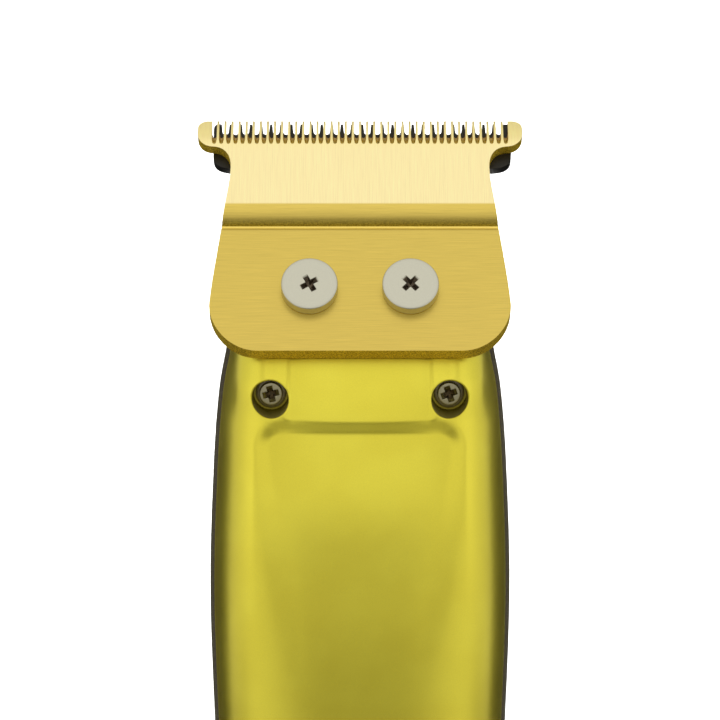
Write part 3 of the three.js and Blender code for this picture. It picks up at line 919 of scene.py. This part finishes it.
def blade_gold():
    """Titanium-gold coat on ground steel: drawn grain up the pad, across the plate, rough on the edges."""
    made = Finish("blade-gold-coat", Metallic=1.0)
    x, up, out = blade_frame(made)
    pad = up.step(19.2, 19.5)
    upright = made.noise(made.joined(x * 9.0, up * 0.22, out * 0.5), 1.0, 3.0, 0.65)
    across = made.noise(made.joined(x * 0.2, up * 13.0, out * 0.5), 1.0, 4.0, 0.7)
    facing = abs(made.dot(made.wire("ShaderNodeNewGeometry", output="Normal"), BLADE_OUT))
    flat = facing.step(0.55, 0.93)
    grit = made.noise(made.spot(), 6.5, 3.0, 0.7)
    stroke = upright * pad + across * (1 - pad)
    pad_tone = made.mix(up.step(26.5, 29.5), (1.0, 0.84, 0.42), (1.0, 0.83, 0.34))
    pale = made.tinted(pad_tone, 0.84 + 0.32 * stroke)
    deep = made.tinted((0.70, 0.52, 0.11), 0.72 + 0.56 * stroke)
    faces = made.mix(pad, deep, pale)
    lower = made.mix(grit.step(0.35, 0.62), (0.30, 0.19, 0.005), (0.84, 0.61, 0.055))
    edge = made.mix(up.step(28.4, 28.9), lower, (0.86, 0.68, 0.3))
    # Painted light on the step below the pad: painted shade in its hollow root, a painted highlight along
    # its foot and another along its crest.
    root = up.step(16.82, 16.92) * up.step(18.1, 17.4)
    foot = up.step(16.35, 16.5) * up.step(16.86, 16.78)
    crest = up.step(18.0, 18.5) * (1 - pad)
    wear_and_painted_light = 1 - 0.32 * root + 0.4 * foot + 0.18 * crest
    made.set(Base_Color=made.tinted(made.mix(flat, edge, faces), wear_and_painted_light))
    made.set(Roughness=0.52 - 0.24 * flat + 0.12 * stroke + 0.1 * grit * (1 - flat))
    made.bumps(stroke * flat * 0.5 + grit * (1 - flat), 0.3, 0.03)
    return made.material


def black_steel():
    """Black carbon coat on a ground blade."""
    made = Finish("black-carbon-coat", Metallic=0.85)
    x, up, out = blade_frame(made)
    stroke = made.noise(made.joined(x * 7.0, up * 0.3, out * 2.0), 1.0, 3.0, 0.6)
    # Here the mask is only wear: lighter worn patches at random.
    wear_and_painted_light = made.noise(made.spot(), 3.0, 4.0, 0.7).step(0.62, 0.8)
    dark = made.tinted((0.034, 0.032, 0.026), 0.7 + 0.6 * stroke)
    made.set(Base_Color=made.mix(wear_and_painted_light * 0.25, dark, (0.16, 0.14, 0.11)))
    made.set(Roughness=0.3 + 0.16 * stroke + 0.1 * wear_and_painted_light)
    made.bumps(stroke, 0.2, 0.02)
    return made.material


def screw_finish(name, centre, axis, radius, colour, top):
    """Plated steel with turning marks on its face, coloured dark brown in its drive."""
    made = Finish(name, Metallic=1.0)
    place = made.spot()
    offset = made.wire("ShaderNodeVectorMath", {"operation": "SUBTRACT"}, {0: place, 1: centre})
    height = made.dot(offset, axis)
    span = made.wire("ShaderNodeVectorMath", {"operation": "LENGTH"}, {0: offset}, "Value")
    reach = (span * span - height * height).at_least(0.0) ** 0.5
    marks = made.noise(made.joined(reach * 7.0, 0.0, 0.0), 1.0, 2.0)
    grain = made.noise(place, 6.0, 3.0, 0.6)
    # The drive is coloured dark brown below the top of the head.
    sunk = height.step(top - 0.08, top - 0.28) * reach.step(radius * 0.6, radius * 0.42)
    plate = made.tinted(colour, 0.86 + 0.12 * marks + 0.14 * grain)
    drive_tone = made.mix(grain.step(0.4, 0.7), (0.035, 0.016, 0.005), (0.16, 0.09, 0.035))
    made.set(Base_Color=made.mix(sunk * 0.85, plate, drive_tone))
    made.set(Roughness=0.26 + 0.1 * grain + 0.05 * marks + 0.2 * sunk)
    made.bumps(marks * 0.4 + grain * 0.6, 0.12, 0.02)
    return made.material


def metal(name, colour, rough, streak=(1.0, 1.0, 6.0), strength=0.2):
    """Plain worked metal with drawn streaks."""
    made = Finish(name, Metallic=1.0)
    x, y, z = made.split(made.spot())
    stroke = made.noise(made.joined(x * streak[0], y * streak[1], z * streak[2]), 1.0, 3.0, 0.6)
    cloud = made.noise(made.spot(), 0.6, 3.0)
    made.set(Base_Color=made.tinted(colour, 0.78 + 0.24 * stroke + 0.2 * cloud))
    made.set(Roughness=rough + 0.12 * stroke + 0.08 * cloud)
    made.bumps(stroke, strength, 0.03)
    return made.material


def moulding(name, colour, rough, grain_scale=6.0, strength=0.25):
    """Plain moulded plastic, board or rubber with its grain."""
    made = Finish(name, Metallic=0.0)
    grain = made.noise(made.spot(), grain_scale, 3.0, 0.6)
    cloud = made.noise(made.spot(), 0.4, 2.0)
    made.set(Base_Color=made.tinted(colour, 0.75 + 0.3 * grain + 0.2 * cloud))
    made.set(Roughness=rough + 0.14 * grain)
    made.bumps(grain, strength, 0.04)
    return made.material


def frosted():
    """Frosted clear window of the status light."""
    made = Finish("frosted-window", Metallic=0.0, Transmission_Weight=0.35, IOR=1.49)
    grain = made.noise(made.spot(), 8.0, 2.0)
    made.set(Base_Color=made.tinted((0.78, 0.84, 0.86), 0.9 + 0.2 * grain))
    made.set(Roughness=0.22 + 0.2 * grain)
    made.bumps(grain, 0.15, 0.02)
    return made.material


def winding():
    """Turns of enamelled wire."""
    made = Finish("enamelled-wire", Metallic=0.9, Coat_Weight=0.5, Coat_Roughness=0.1)
    x, y, z = made.split(made.spot())
    turns = abs((z * 7.0).sine())
    grain = made.noise(made.spot(), 2.0, 2.0)
    made.set(Base_Color=made.tinted((0.55, 0.22, 0.08), 0.45 + 0.5 * turns + 0.2 * grain))
    made.set(Roughness=0.25 + 0.15 * grain)
    made.bumps(turns, 0.6, 0.15)
    return made.material


LIME_GOLD = lime_gold()
DARK_GREY = dark_grey()
STEEL = metal("plain-steel", (0.56, 0.56, 0.55), 0.26)
STAINED = metal("stained-steel", (0.34, 0.3, 0.2), 0.36)
BLACK_PLASTIC = moulding("black-moulding", (0.018, 0.018, 0.018), 0.42)

BLADE_SCREW = {
    "radius": 3.43, "height": 1.55, "dome": 0.05, "shank": 1.42, "length": 5.6,
    "cross": 2.42, "cross_width": 0.7, "cross_depth": 1.0,
}
SHELL_SCREW = {
    "radius": 1.42, "height": 0.95, "dome": 0.02, "shank": 0.93, "length": 11,
    "cross": 2.15, "cross_width": 0.8, "cross_depth": 0.5,
}
CAP_SCREW = {
    "radius": 2.1, "height": 1.3, "dome": 0.2, "shank": 0.93, "length": 10.5,
    "cross": 2.3, "cross_width": 0.55, "cross_depth": 0.8,
}


def fit_screw(kind, word, sizes, turn, matrix, plating, colour, top):
    """A screw of one kind in its place, its axis along the matrix's Z, and its plating up to a height."""
    piece = place(screw(f"{kind}-{word}-head", turn=turn, **sizes), matrix)
    axis = matrix.col[2].to_3d()
    look = screw_finish(
        f"{kind}-{plating}-{word}", matrix.translation, axis, sizes["radius"], colour, top
    )
    finish_piece(piece, look, "housing", plating, f"{kind.replace('-', '_')}_{word}")


finish_piece(front_shell(), LIME_GOLD, "housing", "lime_gold", "front_shell")
finish_piece(rear_shell(), DARK_GREY, "housing", "dark_grey", "rear_shell")
finish_piece(end_cap(), DARK_GREY, "housing", "dark_grey", "end_cap")
finish_piece(fixed_blade(), blade_gold(), "housing", "blade_gold", "fixed_blade")
finish_piece(moving_blade(), black_steel(), "cutter", "black_steel", "moving_blade")

for side, word, blade_turn, shell_turn in ((-1, "left", 30, 13), (1, "right", 45, 19)):
    on_plate = Matrix.Translation((side * BLADE_SCREW_X, BLADE_SCREW_V, PLATE_THICK + JOINT_GAP))
    nickel = (0.60, 0.578, 0.455)
    fit_screw("blade-screw", word, BLADE_SCREW, blade_turn, HEAD @ on_plate, "nickel", nickel, 1.55)

    on_washer = facing_front(side * WELL_X, WELL_FLOOR - 0.4 - JOINT_GAP, WELL_Z)
    dull_nickel = (0.44, 0.40, 0.25)
    fit_screw("shell-screw", word, SHELL_SCREW, shell_turn, on_washer, "nickel", dull_nickel, 0.85)
    under = place(washer(word), facing_front(side * WELL_X, WELL_FLOOR, WELL_Z))
    finish_piece(under, STAINED, "housing", "steel", f"shell_washer_{word}")

    from_below = Matrix.Rotation(math.pi, 4, "X")
    from_below.translation = Vector((side * CAP_SCREW_X, CAP_SCREW_Y, 2.36))
    fit_screw("cap-screw", word, CAP_SCREW, 20, from_below, "steel", (0.5, 0.5, 0.49), 1.2)

pressed = facing_front(0, 0, BUTTON_Z)
finish_piece(place(button(), pressed), LIME_GOLD, "button", "lime_gold", "power_button")
finish_piece(place(button_ring(), pressed), DARK_GREY, "housing", "dark_grey", "button_ring")

# The inner pieces keep their own form, with rounded edges.
INNER = {
    "blade_bracket": (metal("cast-bracket", (0.5, 0.5, 0.49), 0.36), 0.3),
    "tension_spring": (metal("spring-steel", (0.42, 0.41, 0.38), 0.24), 0.08),
    "cutter_yoke": (BLACK_PLASTIC, 0.35),
    "drive_pin": (metal("hardened-pin", (0.6, 0.6, 0.6), 0.16, (1.0, 1.0, 9.0)), 0.25),
    "armature": (metal("armature-iron", (0.34, 0.34, 0.34), 0.34, (0.5, 0.5, 6.0)), 0.3),
    "magnet_left": (metal("magnet-plating-left", (0.62, 0.62, 0.64), 0.16), 0.15),
    "magnet_right": (metal("magnet-plating-right", (0.62, 0.62, 0.64), 0.16), 0.15),
    "guide_rod": (metal("ground-rod", (0.62, 0.62, 0.62), 0.14, (6.0, 1.0, 1.0)), 0.2),
    "stator_core": (metal("lamination-stack", (0.3, 0.3, 0.31), 0.38, (0.3, 9.0, 0.3), 0.5), 0.15),
    "coil": (winding(), 0.6),
    "chassis": (moulding("frame-moulding", (0.03, 0.03, 0.032), 0.5), 0.2),
    "head_seal": (moulding("seal-rubber", (0.02, 0.02, 0.02), 0.72, 4.0, 0.4), 0.15),
    "battery_cell": (moulding("cell-sleeve", (0.035, 0.13, 0.36), 0.22, 1.5, 0.08), 0.5),
    "battery_contact_top": (metal("contact-brass-top", (0.72, 0.5, 0.18), 0.26), 0.08),
    "battery_contact_bottom": (metal("contact-brass-bottom", (0.72, 0.5, 0.18), 0.26), 0.08),
    "circuit_board": (moulding("board-mask", (0.015, 0.12, 0.05), 0.3, 2.0, 0.15), 0.1),
    "charging_board": (moulding("port-board-mask", (0.015, 0.12, 0.05), 0.3, 2.0, 0.15), 0.1),
    "tact_switch": (moulding("switch-moulding", (0.03, 0.03, 0.03), 0.4), 0.15),
    "status_led": (frosted(), 0.1),
    "status_lens": (frosted(), 0.2),
    "charging_socket": (metal("socket-shell", (0.56, 0.56, 0.57), 0.22), 0.08),
    "charging_tongue": (BLACK_PLASTIC, 0.1),
}
for node, (look, width) in INNER.items():
    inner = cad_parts[node]
    inner.data.materials.clear()
    inner.data.materials.append(look)
    rounded_edges(inner, width, 3, 40)


# ---- studio ----
def studio_plane(name, width, depth, matrix, finish, near_width=None):
    """A flat sheet that isn't part of the object. It may narrow towards the object."""
    near = near_width or width
    mesh = bpy.data.meshes.new(name)
    corners = [(-width / 2, -depth / 2, 0), (width / 2, -depth / 2, 0)]
    corners += [(near / 2, depth / 2, 0), (-near / 2, depth / 2, 0)]
    mesh.from_pydata(corners, [], [(0, 1, 2, 3)])
    plane = bpy.data.objects.new(name, mesh)
    bpy.context.scene.collection.objects.link(plane)
    plane.matrix_world = matrix
    mesh.materials.append(finish)
    return plane


pale = Finish("pale-paper", Roughness=0.9)
pale.set(Base_Color=pale.tinted((0.9, 0.9, 0.9), 0.99 + 0.02 * pale.noise(pale.spot(), 0.05)))
studio_plane("floor", 12, 12, Matrix.Identity(4), pale.material)


def aimed(location, target):
    """A matrix at a place, with its -Z axis towards a target."""
    look = (Vector(target) - Vector(location)).to_track_quat("-Z", "Y")
    return Matrix.Translation(location) @ look.to_matrix().to_4x4()


def soft_box(name, location, target, width, height, power):
    light = bpy.data.lights.new(name, "AREA")
    light.shape = "RECTANGLE"
    light.size = width
    light.size_y = height
    light.energy = power
    box = bpy.data.objects.new(name, light)
    bpy.context.scene.collection.objects.link(box)
    box.matrix_world = aimed(location, target)
    return box


def card(name, tone, width, depth, matrix, near_width=None):
    """A card beside or before the object, seen only in its reflections."""
    paint = Finish(f"{name}-paint", Roughness=0.9)
    paint.set(Base_Color=paint.tinted((tone, tone, tone), 0.95 + 0.1 * paint.noise(paint.spot(), 0.05)))
    sheet = studio_plane(name, width, depth, matrix, paint.material, near_width)
    sheet.visible_camera = False
    sheet.visible_shadow = False
    sheet.visible_diffuse = False


# Cards at each side: kind, tone, degrees from straight behind, distance, width, lower and upper edge.
SIDE_CARDS = (
    ("black", 0.01, 31, 0.22, 0.088, -0.05, 0.175),
    ("grey", 0.22, 54, 0.22, 0.088, -0.05, 0.133),
    ("low", 0.01, 50, 0.2, 0.1, -0.04, 0.115),
    ("pale", 0.86, 77, 0.2, 0.09, 0.055, 0.13),
)
LAID = 0.002
for side, word in ((-1, "left"), (1, "right")):
    for kind, tone, turn, far, width, low, high in SIDE_CARDS:
        angle = math.radians(turn)
        middle = (low + high) / 2
        stand = (side * far * math.sin(angle), far * math.cos(angle), middle)
        card(f"{kind}-card-{word}", tone, width, high - low, aimed(stand, (0, 0, middle)))
    card(f"rear-card-{word}", 0.02, 0.2, 0.3, Matrix.Translation((side * 0.14, 0.12, LAID)))
card("front-card", 0.23, 0.8, 0.46, Matrix.Translation((0, -0.43, LAID)), 0.11)
card("near-card", 0.48, 0.26, 0.14, Matrix.Translation((0, -0.125, LAID)))
card("dark-card-back", 0.01, 0.6, 0.4, facing_front(0, 0.25, 0.2))

soft_box("top", (0, -0.45, 0.85), (0, 0, 0.13), 0.7, 0.5, 0.22)
soft_box("left", (-0.62, -0.2, 0.25), (0, 0, 0.11), 0.35, 0.7, 0.25)
soft_box("right", (0.62, -0.2, 0.25), (0, 0, 0.11), 0.35, 0.7, 0.25)
backdrop = soft_box("backdrop", (0, 1.95, 0.5), (0, 1.95, 0), 3.2, 3.4, 60)
backdrop.data.spread = math.radians(60)


class Surroundings(Finish):
    """The studio's white walls: their brightness by direction."""

    def __init__(self):
        world = bpy.data.worlds.new("studio")
        world.use_nodes = True
        bpy.context.scene.world = world
        self.tree = world.node_tree
        self.shader = self.tree.nodes["Background"]
        x, y, z = self.split(self.wire("ShaderNodeTexCoord", output="Generated"))
        lift = 0.98 - 0.14 * z.step(-0.05, 0.35)
        self.set(Strength=lift * (1 - 0.22 * abs(x).step(0.3, 0.85)), Color=(1, 1, 1))


Surroundings()
bpy.context.scene.view_settings.view_transform = "Standard"
bpy.context.scene.view_settings.look = "None"

CAMERA_DISTANCE = 500
CAMERA_ELEVATION = math.radians(9)
AIM_DROP = 0.00224
camera_data = bpy.data.cameras.new("camera")
camera_data.lens = 207.7
camera_data.sensor_width = 36
camera_data.clip_end = 20
camera = bpy.data.objects.new("camera", camera_data)
bpy.context.scene.collection.objects.link(camera)
aim = SEAT + BLADE_OUT * PLATE_THICK
view = Vector((0, math.cos(CAMERA_ELEVATION), -math.sin(CAMERA_ELEVATION)))
upward = Vector((0, math.sin(CAMERA_ELEVATION), math.cos(CAMERA_ELEVATION)))
stand = aim - view * CAMERA_DISTANCE
target = stand + (view - upward * AIM_DROP) * CAMERA_DISTANCE
camera.matrix_world = aimed(stand * MM, target * MM)
bpy.context.scene.camera = camera
